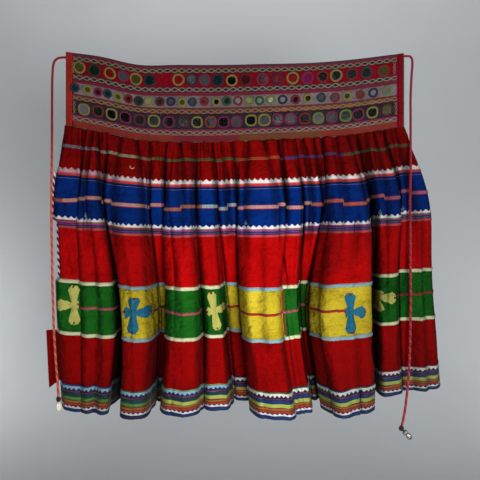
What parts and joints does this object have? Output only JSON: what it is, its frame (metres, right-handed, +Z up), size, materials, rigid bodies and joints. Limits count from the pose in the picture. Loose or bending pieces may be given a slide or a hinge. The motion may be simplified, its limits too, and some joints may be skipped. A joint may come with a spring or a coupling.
{
  "type": "banjara skirt",
  "caption": "Gathered tiered cotton skirt on a stiff mirror-work waistband, opened out and hung by its two top corners, with a drawstring at each.",
  "frame": {"origin": "middle of the straight line between the two held top corners of the waistband", "axes": "+Z up, +X along the waistband to the viewer's right, the embroidered front faces -Y"},
  "size_m": [0.8533, 0.1399, 0.8205],
  "materials": {
    "red_cotton": "plain woven cotton, soft and lightly creased",
    "blue_cotton": "plain woven cotton, slight sheen",
    "green_cotton": "plain woven cotton",
    "yellow_cotton": "plain woven cotton, a little faded",
    "white_trim": "sewn saw-edged cotton trim with coloured strips",
    "cream_piping": "folded cotton piping",
    "striped_hem": "embroidered stripes on cotton",
    "navy_binding": "cotton binding",
    "magenta_backing": "stiff quilted cotton with thread lattice",
    "crimson_band": "stiff cotton with thread-ringed mirrors",
    "lilac_band": "stiff cotton with thread-ringed mirrors",
    "navy_band": "stiff cotton with thread-ringed mirrors",
    "orange_binding": "folded cotton strip",
    "cream_applique": "cotton applique, hand stitched",
    "light_blue_applique": "cotton applique, hand stitched",
    "crimson_cord": "braided cotton cord",
    "black_thread": "wound thread",
    "shell": "natural shell, softly glossy",
    "silver_metal": "worn silvery metal",
    "mirror_glass": "small old mirrors"
  },
  "bodies": {
    "root": {"upper_red_tier": "red_cotton", "upper_trim": "white_trim", "blue_tier": "blue_cotton", "lower_trim": "white_trim", "middle_red_tier": "red_cotton", "upper_piping": "cream_piping", "green_patch_1": "green_cotton", "yellow_patch_2": "yellow_cotton", "green_patch_3": "green_cotton", "yellow_patch_4": "yellow_cotton", "green_patch_5": "green_cotton", "yellow_patch_6": "yellow_cotton", "green_patch_7": "green_cotton", "lower_piping": "cream_piping", "lower_red_tier": "red_cotton", "hem_stripes": "striped_hem", "hem_binding": "navy_binding", "waistband_backing": "magenta_backing", "top_mirror_strip": "crimson_band", "middle_mirror_strip": "lilac_band", "low_mirror_strip": "navy_band", "waistband_base_strip": "orange_binding", "left_end_binding": "orange_binding", "right_end_binding": "crimson_band", "cream_cross_1": "cream_applique", "light_blue_cross_2": "light_blue_applique", "cream_cross_3": "cream_applique", "light_blue_cross_4": "light_blue_applique", "cream_cross_5": "cream_applique", "left_twisted_edging": "white_trim", "left_drawstring": "crimson_cord", "right_drawstring": "crimson_cord", "left_end_knot": "black_thread", "left_end_shell": "shell", "right_end_bead": "black_thread", "right_end_charm": "silver_metal"}
  },
  "joints": []
}
